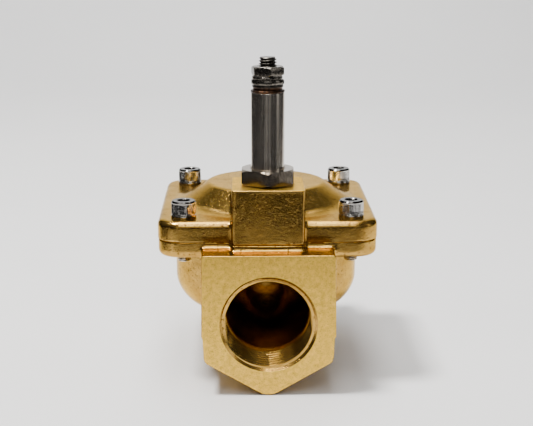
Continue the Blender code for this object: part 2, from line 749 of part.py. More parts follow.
# ---- assembly ------------------------------------------------------------------------------
def main():
    clear_scene()
    materials = make_materials()
    make_body(materials["brass"])
    make_bonnet(materials["bonnet_brass"])
    make_diaphragm_group(materials)
    make_seals_and_seat(materials)
    make_tube(materials["stainless"])
    make_base_nut(materials["stainless"])
    make_core(materials)
    make_plunger_group(materials)
    make_coil_fasteners(materials["dark_steel"])
    make_fasteners(materials)
    bpy.context.view_layer.update()


main()
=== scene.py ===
"""Looks of the brass solenoid valve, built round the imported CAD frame.

Lengths here are in millimetres until a mesh is made. The flow runs along Y, the outlet faces -Y.
"""
from math import atan2, cos, pi, radians, sin, sqrt, tan

import bmesh
import bpy
import numpy as np
from mathutils import Matrix, Vector


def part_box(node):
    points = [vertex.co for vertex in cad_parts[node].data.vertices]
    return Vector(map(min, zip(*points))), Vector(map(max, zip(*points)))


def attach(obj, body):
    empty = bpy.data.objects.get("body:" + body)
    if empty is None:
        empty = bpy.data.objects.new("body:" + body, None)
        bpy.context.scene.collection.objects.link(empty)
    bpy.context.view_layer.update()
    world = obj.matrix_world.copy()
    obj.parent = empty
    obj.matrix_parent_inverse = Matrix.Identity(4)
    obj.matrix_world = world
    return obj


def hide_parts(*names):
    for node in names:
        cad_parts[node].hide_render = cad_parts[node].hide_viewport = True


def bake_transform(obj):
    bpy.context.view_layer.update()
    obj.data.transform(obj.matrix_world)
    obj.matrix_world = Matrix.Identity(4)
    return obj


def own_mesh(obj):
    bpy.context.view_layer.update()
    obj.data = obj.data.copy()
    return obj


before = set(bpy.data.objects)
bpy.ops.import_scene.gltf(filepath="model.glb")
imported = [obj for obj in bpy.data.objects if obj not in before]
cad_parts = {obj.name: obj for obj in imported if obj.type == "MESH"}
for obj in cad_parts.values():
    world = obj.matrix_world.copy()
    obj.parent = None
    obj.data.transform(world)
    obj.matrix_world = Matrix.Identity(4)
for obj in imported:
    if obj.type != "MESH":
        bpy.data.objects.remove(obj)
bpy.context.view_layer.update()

MM = 0.001
HOUSING = "valve_housing"
DIAPHRAGM_BODY = "diaphragm_assembly"
PLUNGER_BODY = "plunger_assembly"
SCREW_NAMES = ("front_left", "front_right", "rear_left", "rear_right")


# ---- sizes, read from the frame ----
def node_box(node):
    low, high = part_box(node)
    return low / MM, high / MM


def middle(node):
    low, high = node_box(node)
    return (low + high) / 2


BODY_HIGH = node_box("valve_body")[1]
BONNET_LOW, BONNET_HIGH = node_box("bonnet")
HALF_LENGTH = BODY_HIGH.y
BODY_HALF = BODY_HIGH.x
JOINT_Z = BODY_HIGH.z
BONNET_HALF = BONNET_HIGH.x
BONNET_BOTTOM = JOINT_Z + 0.04
BOSS_TOP = BONNET_HIGH.z
BOSS_FRONT = BONNET_LOW.y
BOSS_Y = middle("armature_tube").y
BOSS_AXIS = (0.0, BOSS_Y)
BOSS_HALF_X = 12.6
BOSS_HALF_Y = BOSS_Y - BOSS_FRONT
CORNER_R = 8.0

PORT_AXIS = 25.4
BLOCK_TOP = 49.85
FLANGE_BOTTOM = 46.0
BONNET_TOP = 59.1
DOME_TOP = 66.15
DOME_TOP_R = 21.5
DOME_FOOT_R = 31.9
PORT_HALF_WIDTH = 23.0
BLOCK_REAR = 26.0
BARREL_R = 19.5
BOWL_R = 33.8
BORE_R = 14.5
ELBOW_R = 15.0
SEAT_BORE_R = 13.0
SEAT_OUTER_R = 15.8
SEAT_Z = 42.1
CHAMBER_R = 29.3
RECESS_R = 34.6

THREAD_MINOR_R = 15.15
THREAD_MAJOR_R = 16.5
THREAD_PITCH = 2.309
THREAD_DEPTH = 16.3
MOUTH_R = 16.95
MOUTH_CHAMFER = 0.95

PILOT_HOLE_Y = -39.0
TUBE_BORE_R = 5.05
TUBE_R = 5.8
COLLAR_R = 6.7
GLAND_R = 7.15
STUD_PITCH = 1.0
STUD_BORE_R = 3.2
PLATE_BORE_R = 3.2
CORE_R = 4.75
CORD_STEPS = 20


# ---- distance fields ----
def smooth_union(a, b, radius):
    """Union whose inner corner is a fillet."""
    meet = np.hypot(np.maximum(radius - a, 0), np.maximum(radius - b, 0))
    return np.maximum(radius, np.minimum(a, b)) - meet


def smooth_cut(a, b, radius):
    """Intersection whose outer corner is rounded."""
    meet = np.hypot(np.maximum(radius + a, 0), np.maximum(radius + b, 0))
    return np.minimum(-radius, np.maximum(a, b)) + meet


def rectangle(x, y, half_x, half_y, radius):
    qx = np.abs(x) - half_x + radius
    qy = np.abs(y) - half_y + radius
    outside = np.hypot(np.maximum(qx, 0), np.maximum(qy, 0))
    return outside + np.minimum(np.maximum(qx, qy), 0) - radius


def slab(height, low, high, low_edge, high_edge, outline):
    """An outline between two heights, each end with its own edge radius."""
    shape = smooth_cut(outline, low - height, low_edge)
    return smooth_cut(shape, height - high, high_edge)


def graded(low, high, cell, fine=()):
    """Grid lines a cell apart, and closer within reach of each fine place."""
    lines = [low]
    while lines[-1] < high:
        step = cell
        for place, reach, fine_cell in fine:
            near = abs(lines[-1] - place) < reach
            entering = lines[-1] < place - reach < lines[-1] + cell
            if entering:
                step = min(step, place - reach - lines[-1] + 1e-6)
            elif near:
                step = min(step, fine_cell)
        lines.append(lines[-1] + step)
    return np.array(lines)


def surface_nets(field, xs, ys, zs):
    """Vertices and quads of the surface where the field is zero."""
    lines = (xs, ys, zs)
    inside = field < 0
    corners = [(i, j, k) for i in (0, 1) for j in (0, 1) for k in (0, 1)]
    shape = tuple(n - 1 for n in field.shape)
    count = np.zeros(shape, np.int8)
    for i, j, k in corners:
        count += inside[i:i + shape[0], j:j + shape[1], k:k + shape[2]]
    cells = np.argwhere((count > 0) & (count < 8))
    index = np.full(shape, -1, np.int64)
    index[tuple(cells.T)] = np.arange(len(cells))
    total = np.zeros((len(cells), 3))
    hits = np.zeros(len(cells))
    for a in corners:
        for axis in range(3):
            if a[axis]:
                continue
            b = tuple(1 if n == axis else v for n, v in enumerate(a))
            at_a = cells + a
            at_b = cells + b
            fa = field[tuple(at_a.T)]
            fb = field[tuple(at_b.T)]
            crosses = (fa < 0) != (fb < 0)
            share = np.where(crosses, fa / np.where(crosses, fa - fb, 1), 0)
            for n in range(3):
                start = lines[n][at_a[:, n]]
                total[:, n] += np.where(crosses, start + share * (lines[n][at_b[:, n]] - start), 0)
            hits += crosses
    vertices = total / hits[:, None]
    quads = []
    for axis in range(3):
        u, v = [n for n in range(3) if n != axis]
        step = [0, 0, 0]
        step[axis] = 1
        size = [field.shape[n] - step[n] for n in range(3)]
        first = inside[:size[0], :size[1], :size[2]]
        second = inside[step[0]:, step[1]:, step[2]:]
        edges = np.argwhere(first != second)
        edges = edges[(edges[:, u] > 0) & (edges[:, v] > 0)]
        ring = []
        for du, dv in ((1, 1), (0, 1), (0, 0), (1, 0)):
            cell = edges.copy()
            cell[:, u] -= du
            cell[:, v] -= dv
            ring.append(index[tuple(cell.T)])
        quad = np.stack(ring, 1)
        outward = first[tuple(edges.T)]
        flip = outward if axis == 1 else ~outward
        quad[flip] = quad[flip][:, ::-1]
        quads.append(quad)
    return vertices, np.concatenate(quads)


def field_object(name, field, xs, ys, zs, keep):
    vertices, quads = surface_nets(field, xs, ys, zs)
    mesh = bpy.data.meshes.new(name)
    mesh.vertices.add(len(vertices))
    mesh.vertices.foreach_set("co", (vertices * MM).ravel())
    mesh.loops.add(quads.size)
    mesh.loops.foreach_set("vertex_index", quads.ravel())
    mesh.polygons.add(len(quads))
    mesh.polygons.foreach_set("loop_start", np.arange(0, quads.size, 4))
    mesh.update(calc_edges=True)
    mesh.validate()
    obj = link(name, mesh)
    thin = obj.modifiers.new("thin", "DECIMATE")
    thin.ratio = keep
    return bake_modifiers(obj)


# ---- mesh helpers ----
def link(name, mesh):
    obj = bpy.data.objects.new(name, mesh)
    bpy.context.scene.collection.objects.link(obj)
    return obj


def bake_modifiers(obj):
    """Replaces the object's mesh by its evaluated one."""
    bpy.context.view_layer.update()
    evaluated = obj.evaluated_get(bpy.context.evaluated_depsgraph_get())
    mesh = bpy.data.meshes.new_from_object(evaluated)
    old = obj.data
    obj.modifiers.clear()
    obj.data = mesh
    mesh.name = obj.name
    bpy.data.meshes.remove(old)
    return obj


def mesh_object(name, vertices, faces):
    mesh = bpy.data.meshes.new(name)
    mesh.from_pydata([tuple(c * MM for c in v) for v in vertices], [], faces)
    mesh.update()
    obj = link(name, mesh)
    fix_normals(obj)
    return obj


def fix_normals(obj):
    bm = bmesh.new()
    bm.from_mesh(obj.data)
    bmesh.ops.recalc_face_normals(bm, faces=bm.faces)
    bm.to_mesh(obj.data)
    bm.free()


def boolean(obj, tool, operation="DIFFERENCE", solver="MANIFOLD"):
    modifier = obj.modifiers.new("cut", "BOOLEAN")
    modifier.operation = operation
    modifier.solver = solver
    modifier.object = tool
    bake_modifiers(obj)
    bpy.data.objects.remove(tool, do_unlink=True)
    return obj


def smooth(obj, angle=35.0, weighted=False):
    obj.data.shade_smooth()
    obj.data.set_sharp_from_angle(angle=radians(angle))
    if weighted:
        modifier = obj.modifiers.new("weighted", "WEIGHTED_NORMAL")
        modifier.keep_sharp = True
        modifier.weight = 60
    return obj


def bevel(obj, width, segments=2, angle=30.0):
    modifier = obj.modifiers.new("edges", "BEVEL")
    modifier.width = width * MM
    modifier.segments = segments
    modifier.limit_method = "ANGLE"
    modifier.angle_limit = radians(angle)
    modifier.harden_normals = False
    return bake_modifiers(obj)


def rounded(points, radius, closed=True, steps=3):
    """The profile with each corner replaced by a short arc."""
    result = []
    count = len(points)
    for i, point in enumerate(points):
        here = Vector(point)
        if not closed and i in (0, count - 1):
            result.append(tuple(here))
            continue
        before = Vector(points[i - 1]) - here
        after = Vector(points[(i + 1) % count]) - here
        reach = min(radius, before.length * 0.45, after.length * 0.45)
        start = here + before.normalized() * reach
        end = here + after.normalized() * reach
        for n in range(steps + 1):
            t = n / steps
            result.append(tuple((1 - t) ** 2 * start + 2 * t * (1 - t) * here + t ** 2 * end))
    return result


def around(place, radius, angle, height):
    """The point at that angle and radius round an upright axis."""
    return (place[0] + radius * cos(angle), place[1] + radius * sin(angle), height)


def lathe(name, profile, place=(0.0, 0.0), steps=96, ring=False):
    """A turned piece from (radius, height) points; a ring's profile closes on itself."""
    vertices = []
    rows = []
    for radius, height in profile:
        if radius < 1e-6:
            rows.append([len(vertices)])
            vertices.append((place[0], place[1], height))
            continue
        rows.append(list(range(len(vertices), len(vertices) + steps)))
        vertices += [around(place, radius, 2 * pi * i / steps, height) for i in range(steps)]
    faces = []
    pairs = list(zip(rows, rows[1:]))
    if ring:
        pairs.append((rows[-1], rows[0]))
    for one, two in pairs:
        for i in range(steps):
            j = (i + 1) % steps
            if len(one) == 1:
                faces.append((one[0], two[i], two[j]))
            elif len(two) == 1:
                faces.append((one[i], two[0], one[j]))
            else:
                faces.append((one[i], two[i], two[j], one[j]))
    return mesh_object(name, vertices, faces)


def radial(name, heights, radius_at, place=(0.0, 0.0), steps=96, axis="Z"):
    """A closed round piece whose radius depends on angle and height."""
    angles = np.arange(steps) * 2 * pi / steps
    vertices = []
    for height in heights:
        radii = radius_at(angles, height)
        for angle, radius in zip(angles, radii):
            across, along = radius * cos(angle), radius * sin(angle)
            if axis == "Z":
                vertices.append((place[0] + across, place[1] + along, height))
            else:
                vertices.append((across, height, PORT_AXIS + along))
    faces = []
    for row in range(len(heights) - 1):
        for i in range(steps):
            j = (i + 1) % steps
            a, b = row * steps, (row + 1) * steps
            faces.append((a + i, a + j, b + j, b + i))
    faces.append(tuple(range(steps)))
    last = (len(heights) - 1) * steps
    faces.append(tuple(range(last, last + steps)))
    return mesh_object(name, vertices, faces)


def thread_wave(turns, land):
    """0 in the thread's root and 1 on its crest, counted in pitches; land widens the root."""
    phase = np.mod(turns, 1.0)
    wave = 1 - np.abs(2 * phase - 1)
    return np.clip((1.13 + land) * wave - land, 0, 1)


def threaded(
        name, minor, major, pitch, low, high, place=(0.0, 0.0), axis="Z", chamfer=0.0, steps=72,
        land=0.12,
):
    """A threaded rod; chamfer narrows both ends."""
    rows = max(2, int(round((high - low) / pitch * 10)))
    heights = np.linspace(low, high, rows + 1)

    def radius_at(angles, height):
        wave = thread_wave(height / pitch - angles / (2 * pi), land)
        radii = minor + (major - minor) * wave
        end = min(height - low, high - height)
        if chamfer and end < chamfer:
            radii = np.minimum(radii, major - (chamfer - end))
        return radii

    return radial(name, heights, radius_at, place, steps, axis)


def rod(name, start, end, radius, end_radius=None, steps=64):
    start, end = Vector(start), Vector(end)
    if end_radius is None:
        end_radius = radius
    bm = bmesh.new()
    bmesh.ops.create_cone(
        bm, cap_ends=True, segments=steps, radius1=radius * MM, radius2=end_radius * MM,
        depth=(end - start).length * MM,
    )
    turn = (end - start).to_track_quat("Z", "Y").to_matrix().to_4x4()
    bm.transform(Matrix.Translation((start + end) / 2 * MM) @ turn)
    mesh = bpy.data.meshes.new(name)
    bm.to_mesh(mesh)
    bm.free()
    return link(name, mesh)


def drill(obj, place, low, high, radius, end_radius=None, steps=64, solver="MANIFOLD"):
    """Cuts an upright round hole at place, from low to high."""
    cutter = rod("hole", (*place, low), (*place, high), radius, end_radius, steps)
    boolean(obj, cutter, solver=solver)


def hexagon_prism(name, across_flats, low, high, place, turn):
    radius = across_flats / sqrt(3)
    vertices = []
    for height in (low, high):
        vertices += [around(place, radius, turn + pi / 3 * i, height) for i in range(6)]
    faces = [(i, (i + 1) % 6, (i + 1) % 6 + 6, i + 6) for i in range(6)]
    faces += [tuple(range(5, -1, -1)), tuple(range(6, 12))]
    return mesh_object(name, vertices, faces)


def sweep_ring(name, inner, outer, low, thickness, rise, start, opening, place, steps=96):
    """A split ring: a bar with soft edges bent round a helix that rises by rise."""
    half = thickness / 2
    section = rounded([
        (inner, -half), (outer, -half), (outer, half), (inner, half),
    ], 0.32 * thickness, steps=2)
    vertices = []
    size = len(section)
    sweep = 2 * pi - opening
    for i in range(steps + 1):
        share = i / steps
        angle = start + sweep * share
        lift = low + half + rise * share
        vertices += [around(place, radius, angle, lift + height) for radius, height in section]
    faces = []
    for i in range(steps):
        for n in range(size):
            m = (n + 1) % size
            a, b = i * size, (i + 1) * size
            faces.append((a + n, a + m, b + m, b + n))
    faces.append(tuple(range(size)))
    faces.append(tuple(range(steps * size, (steps + 1) * size)))
    return mesh_object(name, vertices, faces)


def coil(name, radius, wire, low, high, turns, place, per_turn=36, sides=12):
    """A compression spring with its end turns closed."""
    vertices = []
    count = turns * per_turn
    dead = 0.9 * per_turn
    lift = high - low - 2 * wire
    for i in range(count + 1):
        angle = 2 * pi * i / per_turn
        share = min(max((i - dead) / (count - 2 * dead), 0.0), 1.0)
        pitch_low = 2 * wire * min(i, dead) / per_turn
        pitch_high = 2 * wire * max(i - (count - dead), 0) / per_turn
        free = lift - 2 * (2 * wire * dead / per_turn)
        height = low + wire + pitch_low + free * share + pitch_high
        for n in range(sides):
            bend = 2 * pi * n / sides
            vertices.append(
                around(place, radius + wire * cos(bend), angle, height + wire * sin(bend))
            )
    faces = []
    for i in range(count):
        for n in range(sides):
            m = (n + 1) % sides
            a, b = i * sides, (i + 1) * sides
            faces.append((a + n, b + n, b + m, a + m))
    faces.append(tuple(range(sides)))
    faces.append(tuple(range(count * sides, (count + 1) * sides)))
    return mesh_object(name, vertices, faces)


# ---- materials ----
class Graph:
    """A material's node tree, with its textures in the object's own millimetres."""

    def __init__(self, name, metallic=1.0):
        self.material = bpy.data.materials.new(name)
        self.material.use_nodes = True
        self.tree = self.material.node_tree
        self.shader = self.tree.nodes["Principled BSDF"]
        self.shader.inputs["Metallic"].default_value = metallic
        place = self.node("TexCoord").outputs["Object"]
        self.place = self.node("VectorMath", {0: place, 3: 1000.0}, operation="SCALE").outputs[0]

    def node(self, kind, sockets=None, **settings):
        node = self.tree.nodes.new("ShaderNode" + kind)
        for key, value in settings.items():
            setattr(node, key, value)
        for key, value in (sockets or {}).items():
            self.feed(node.inputs[key], value)
        return node

    def feed(self, socket, value):
        if isinstance(value, bpy.types.NodeSocket):
            self.tree.links.new(value, socket)
        else:
            socket.default_value = value

    def math(self, operation, a, b=0.0, clamp=False):
        return self.node("Math", {0: a, 1: b}, operation=operation, use_clamp=clamp).outputs[0]

    def times(self, a, b):
        return self.math("MULTIPLY", a, b)

    def axes(self):
        return self.node("SeparateXYZ", {0: self.place}).outputs

    def stretch(self, scale, turn=(0.0, 0.0, 0.0)):
        mapping = self.node("Mapping", {"Vector": self.place, "Rotation": turn, "Scale": scale})
        return mapping.outputs[0]

    def noise(self, size, detail=3.0, rough=0.55, vector=None, lacunarity=2.0):
        """Noise whose features are about size millimetres."""
        sockets = {
            "Vector": vector or self.place, "Scale": 1.0 / size, "Detail": detail,
            "Roughness": rough, "Lacunarity": lacunarity,
        }
        return self.node("TexNoise", sockets).outputs[0]

    def band(self, value, low, high):
        """0 below low, 1 above high."""
        return self.spread(value, low, high, 0.0, 1.0)

    def spread(self, value, low, high, to_low, to_high):
        sockets = {0: value, 1: low, 2: high, 3: to_low, 4: to_high}
        return self.node("MapRange", sockets, clamp=True).outputs[0]

    def mix(self, share, a, b):
        node = self.node("Mix", data_type="RGBA")
        self.feed(node.inputs[0], share)
        for socket, value in ((node.inputs[6], a), (node.inputs[7], b)):
            self.feed(socket, value if isinstance(value, bpy.types.NodeSocket) else (*value, 1.0))
        return node.outputs[2]

    def blend(self, share, a, b):
        """A number between a and b."""
        node = self.node("Mix", data_type="FLOAT")
        for socket, value in ((node.inputs[0], share), (node.inputs[2], a), (node.inputs[3], b)):
            self.feed(socket, value)
        return node.outputs[0]

    def bump(self, height, distance, strength=1.0, normal=None):
        """distance is the relief's depth in millimetres."""
        sockets = {"Height": height, "Distance": distance * MM, "Strength": strength}
        if normal is not None:
            sockets["Normal"] = normal
        return self.node("Bump", sockets).outputs[0]

    def set(self, **values):
        for key, value in values.items():
            self.feed(self.shader.inputs[key.replace("_", " ").title()], value)


GOLD_MILLED = (0.86, 0.545, 0.085)
GOLD_MILLED_DULL = (0.60, 0.365, 0.05)
GOLD_LIGHT = (0.70, 0.45, 0.12)
GOLD = (0.54, 0.325, 0.075)
GOLD_DEEP = (0.36, 0.20, 0.04)
# dark brass for real pits and scratches, and also for painted shade in the body's bore
GOLD_STAIN_AND_SHADE = (0.09, 0.045, 0.014)
GOLD_EDGE = (0.95, 0.80, 0.50)
# near black used for painted shade on the screw heads
SHADE_BLACK = (0.015, 0.013, 0.011)
WELD_BLUE = (0.015, 0.010, 0.008)
WELD_BROWN = (0.08, 0.04, 0.02)
STUD_DARK = (0.04, 0.036, 0.032)
STUD_LIGHT = (0.13, 0.118, 0.10)
ALL_WAYS = (1.0, 1.0, 1.0)


def scratches(graph, size, turn, clear):
    """Fine lines along one direction; the higher clear is, the fewer there are."""
    lines = graph.noise(size, 4.0, 0.6, graph.stretch((1.0, 0.035, 1.0), turn))
    return graph.band(lines, clear, clear + 0.08)


def brass(name, machined, shaded=None):
    """Forged and tumbled brass, milled where machined(graph) is 1, darkened by painted shade where
    the optional mask is.
    """
    graph = Graph(name)
    mask = machined(graph)
    clouds = graph.noise(14.0, 4.0, 0.6)
    mottle = graph.noise(1.6, 3.0, 0.6)
    smears = graph.noise(2.4, 4.0, 0.65, graph.stretch((0.35, 0.35, 1.0)))
    pits = graph.band(graph.noise(0.9, 2.0, 0.5), 0.63, 0.67)
    fine_lines = scratches(graph, 0.30, (0.0, radians(38.0), 0.0), 0.56)
    long_lines = scratches(graph, 0.5, (radians(50.0), radians(-24.0), 0.0), 0.64)
    grain = graph.noise(0.22, 3.0, 0.6)

    light_share, smear_share, line_share, shade_share = 0.4, 0.45, 0.35, 0.3
    forged = graph.mix(graph.band(clouds, 0.35, 0.65), GOLD, GOLD_DEEP)
    forged = graph.mix(graph.times(graph.band(mottle, 0.45, 0.8), light_share), forged, GOLD_LIGHT)
    forged = graph.mix(graph.times(graph.band(smears, 0.5, 0.68), smear_share), forged, GOLD_DEEP)
    milled = graph.mix(graph.band(mottle, 0.35, 0.72), GOLD_MILLED, GOLD_MILLED_DULL)
    colour = graph.mix(mask, forged, milled)
    stains_and_shade = [
        graph.times(pits, graph.blend(mask, 0.75, 0.3)), graph.times(long_lines, line_share),
        graph.times(fine_lines, graph.blend(mask, 0.0, 0.45)),
    ]
    # painted shade: the optional mask darkens the brass, as in the deep bore of the body
    if shaded:
        stains_and_shade.append(graph.times(shaded(graph), shade_share))
    for stain in stains_and_shade:
        colour = graph.mix(stain, colour, GOLD_STAIN_AND_SHADE)

    rough = graph.spread(clouds, 0.3, 0.7, 0.16, 0.27)
    rough_milled = graph.spread(grain, 0.3, 0.7, 0.30, 0.46)
    roughness = graph.blend(mask, rough, rough_milled)

    wave_depth, relief_depth = 0.13, 0.022
    relief = graph.times(grain, graph.blend(mask, 0.3, 1.0))
    relief = graph.math("ADD", relief, graph.times(fine_lines, graph.blend(mask, -0.3, -2.2)))
    relief = graph.math("SUBTRACT", relief, graph.times(pits, 1.5))
    wave = graph.math("ADD", graph.noise(6.0, 1.0, 0.4), graph.times(smears, 0.35))
    normal = graph.bump(wave, wave_depth, 0.6)
    normal = graph.bump(relief, relief_depth, 1.0, normal)
    edge_tint = (*GOLD_EDGE, 1.0)
    graph.set(base_color=colour, roughness=roughness, normal=normal, specular_tint=edge_tint)
    return graph.material


def flat_mask(graph, axis, low, high, facing):
    """1 where the coordinate lies between low and high and the surface faces along the axis."""
    place = graph.axes()[axis]
    way = graph.node("SeparateXYZ", {0: graph.node("TexCoord").outputs["Normal"]}).outputs[axis]
    above_low = graph.math("GREATER_THAN", place, low)
    inside = graph.times(above_low, graph.math("LESS_THAN", place, high))
    faces = graph.math("GREATER_THAN", graph.times(way, facing), 0.9)
    return graph.times(inside, faces)


def body_machined(graph):
    """1 on the two port faces."""
    outlet = flat_mask(graph, 1, -HALF_LENGTH - 1, -HALF_LENGTH + 0.3, -1.0)
    inlet = flat_mask(graph, 1, HALF_LENGTH - 0.3, HALF_LENGTH + 1, 1.0)
    return graph.math("ADD", outlet, inlet, clamp=True)


def body_bore_shade(graph):
    """1 in the passages behind the threads, where painted shade darkens the brass."""
    x, y, z = graph.axes()
    up = graph.math("SUBTRACT", z, PORT_AXIS)
    across = graph.math("SQRT", graph.math("ADD", graph.times(x, x), graph.times(up, up)))
    inside = graph.math("LESS_THAN", across, THREAD_MINOR_R + 0.3)
    shade_end = HALF_LENGTH - THREAD_DEPTH - 1.4
    behind = graph.math("LESS_THAN", graph.math("ABSOLUTE", y), shade_end)
    return graph.times(inside, behind)


def bonnet_machined(graph):
    """1 on the top of the boss."""
    return flat_mask(graph, 2, BOSS_TOP - 0.3, BOSS_TOP + 1, 1.0)


def steel(name, light, dark, rough, streak, streak_size=0.5, stain=None, painted_shade_from=None):
    """Machined or drawn steel with fine streaks along one direction, with painted shade above a
    height.
    """
    graph = Graph(name)
    lines = graph.noise(streak_size, 4.0, 0.65, graph.stretch(streak))
    clouds = graph.noise(4.0, 3.0, 0.6)
    colour = graph.mix(graph.band(lines, 0.3, 0.7), dark, light)
    if stain:
        colour = graph.mix(graph.times(graph.band(clouds, 0.5, 0.75), 0.6), colour, stain)
    specks = graph.band(graph.noise(0.5, 2.0, 0.5), 0.69, 0.75)
    speck_colour = tuple(c * 0.3 for c in dark)
    colour = graph.mix(graph.times(specks, 0.5), colour, speck_colour)
    # painted shade: near black on the screw heads' tops and rims
    if painted_shade_from:
        height = graph.axes()[2]
        head_shade = graph.times(graph.band(height, painted_shade_from, painted_shade_from + 0.25), 0.92)
        colour = graph.mix(head_shade, colour, SHADE_BLACK)
    roughness = graph.spread(lines, 0.25, 0.75, rough - 0.07, rough + 0.08)
    normal = graph.bump(graph.math("ADD", lines, graph.times(clouds, 0.5)), 0.006)
    graph.set(base_color=colour, roughness=roughness, normal=normal)
    return graph.material


def weld_steel(name):
    """Core top: dark heat tint at the weld, plain steel on the stud."""
    graph = Graph(name)
    height = graph.axes()[2]
    top = node_box("armature_tube")[1].z
    near_weld = graph.math("SUBTRACT", 1.0, graph.band(height, top + 1.6, top + 2.6))
    near_weld = graph.times(near_weld, graph.band(height, top - 3.0, top - 0.8))
    tint = graph.noise(1.3, 3.0, 0.6)
    blue_brown = graph.mix(graph.band(tint, 0.4, 0.66), WELD_BLUE, WELD_BROWN)
    plain = graph.mix(graph.band(graph.noise(0.6, 3.0), 0.35, 0.7), STUD_DARK, STUD_LIGHT)
    colour = graph.mix(near_weld, plain, blue_brown)
    roughness = graph.spread(tint, 0.3, 0.7, 0.24, 0.42)
    normal = graph.bump(graph.noise(0.35, 3.0), 0.03)
    graph.set(base_color=colour, roughness=roughness, normal=normal)
    return graph.material


def rubber(name):
    graph = Graph(name, metallic=0.0)
    grain = graph.noise(0.25, 4.0, 0.6)
    colour = graph.mix(graph.noise(5.0), (0.012, 0.012, 0.012), (0.03, 0.029, 0.028))
    roughness = graph.spread(grain, 0.3, 0.7, 0.6, 0.82)
    graph.set(base_color=colour, roughness=roughness, normal=graph.bump(grain, 0.02))
    return graph.material


def floor_material():
    graph = Graph("floor_paper", metallic=0.0)
    colour = graph.mix(graph.noise(180.0, 3.0), (0.80, 0.80, 0.80), (0.86, 0.855, 0.85))
    roughness = graph.spread(graph.noise(60.0), 0.3, 0.7, 0.5, 0.7)
    graph.set(base_color=colour, roughness=roughness)
    return graph.material


STEELS = {
    "tube_stainless": (
        (0.74, 0.67, 0.57), (0.57, 0.51, 0.43), 0.22, (1.0, 1.0, 0.012), 0.5, (0.52, 0.43, 0.33),
    ),
    "nut_stainless": ((0.36, 0.31, 0.25), (0.22, 0.185, 0.145), 0.19, (1.0, 1.0, 0.3), 0.4),
    "stainless_plate": ((0.60, 0.59, 0.57), (0.45, 0.44, 0.42), 0.3, ALL_WAYS),
    "dark_steel": ((0.22, 0.20, 0.17), (0.08, 0.07, 0.06), 0.24, ALL_WAYS, 0.7),
    # the last number is where painted shade starts, on the screw heads' tops
    "plated_steel": (
        (0.74, 0.72, 0.68), (0.34, 0.325, 0.30), 0.15, (1.0, 1.0, 0.5), 0.5, None,
        node_box("cap_screw_front_left")[1].z - 0.8,
    ),
    "spring_steel": ((0.62, 0.62, 0.62), (0.45, 0.45, 0.45), 0.25, ALL_WAYS),
    "copper": ((0.83, 0.42, 0.28), (0.62, 0.27, 0.16), 0.3, ALL_WAYS),
}
MATERIALS = {
    "body_brass": brass("body_brass", body_machined, body_bore_shade),
    "bonnet_brass": brass("bonnet_brass", bonnet_machined),
    "inner_brass": brass("inner_brass", bonnet_machined),
    "nitrile_rubber": rubber("nitrile_rubber"),
    "core_stainless": weld_steel("core_stainless"),
}
MATERIALS.update((name, steel(name, *look)) for name, look in STEELS.items())


def dress(obj, slot, body, node, soft, weighted=False):
    """Smooths a piece, gives it its material and its body, and hides the CAD node that it stands
    for.
    """
    smooth(obj, soft, weighted)
    obj.data.materials.clear()
    obj.data.materials.append(MATERIALS[slot])
    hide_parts(node)
    if body:
        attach(obj, body)


def turned(node, made, points, edge, slot, place, body=HOUSING, steps=96, ring=True, soft=35.0):
    """A dressed turned piece; edge rounds its profile's corners, soft is its smoothing angle."""
    profile = rounded(points, edge, closed=ring)
    dress(lathe(node + made, profile, place, steps, ring), slot, body, node, soft)


# ---- valve body ----
def port_block_field(x, y, z):
    """Hexagon wrench blocks at both ends, with forging draft either side of the parting line."""
    up = z - PORT_AXIS
    parting, draft_above, draft_below = -4.5, 0.0105, 0.045
    above = PORT_HALF_WIDTH + 0.28 - draft_above * (up - parting)
    below = PORT_HALF_WIDTH - 0.15 + draft_below * (up - parting)
    side = np.abs(x) - np.where(up > parting, above, below)
    vee = sin(pi / 6) * np.abs(x) - cos(pi / 6) * up - PORT_HALF_WIDTH
    outline = smooth_cut(side, vee, 1.2)
    outline = smooth_cut(outline, up - (BLOCK_TOP - PORT_AXIS), 0.6)
    outline = smooth_cut(outline, -z, 0.8)
    along = np.abs(y)
    return slab(along, BLOCK_REAR, HALF_LENGTH, 1.6, 0.22, outline)


def body_field(x, y, z):
    radius = np.hypot(x, y)
    across = np.hypot(x, z - PORT_AXIS)
    outline = rectangle(x, y, BODY_HALF, BODY_HALF, CORNER_R)
    flange = slab(z, FLANGE_BOTTOM, JOINT_Z, 2.1, 0.3, outline)
    slope, bowl_low, bowl_edge = radians(20.0), 11.14, 7.5
    foot = (bowl_low + radius * tan(slope) - z) * cos(slope)
    bowl = smooth_cut(radius - BOWL_R, foot, bowl_edge)
    bowl = np.maximum(bowl, z - FLANGE_BOTTOM - 3)
    barrel = np.maximum(across - BARREL_R, np.abs(y) - BLOCK_REAR - 2)
    pad_half_x, pad_half_y, pad_top = 11.0, 12.0, 14.0
    pad = slab(z, 0.0, pad_top, 0.5, 0.5, rectangle(x, y, pad_half_x, pad_half_y, 2.0))
    lower = smooth_union(bowl, barrel, 3.0)
    lower = smooth_union(lower, pad, 1.5)
    blocks = port_block_field(x, y, z)
    lower = smooth_union(lower, blocks, 1.4)
    solid = smooth_union(lower, flange, 1.0)
    lug_rear, lug_low = -30.0, 46.5
    lug_y = y - (BOSS_FRONT + lug_rear) / 2
    lug_outline = rectangle(x, lug_y, BOSS_HALF_X, (lug_rear - BOSS_FRONT) / 2, 0.8)
    lug = slab(z, lug_low, JOINT_Z, 0.5, 0.3, lug_outline)
    return smooth_union(solid, lug, 0.8)


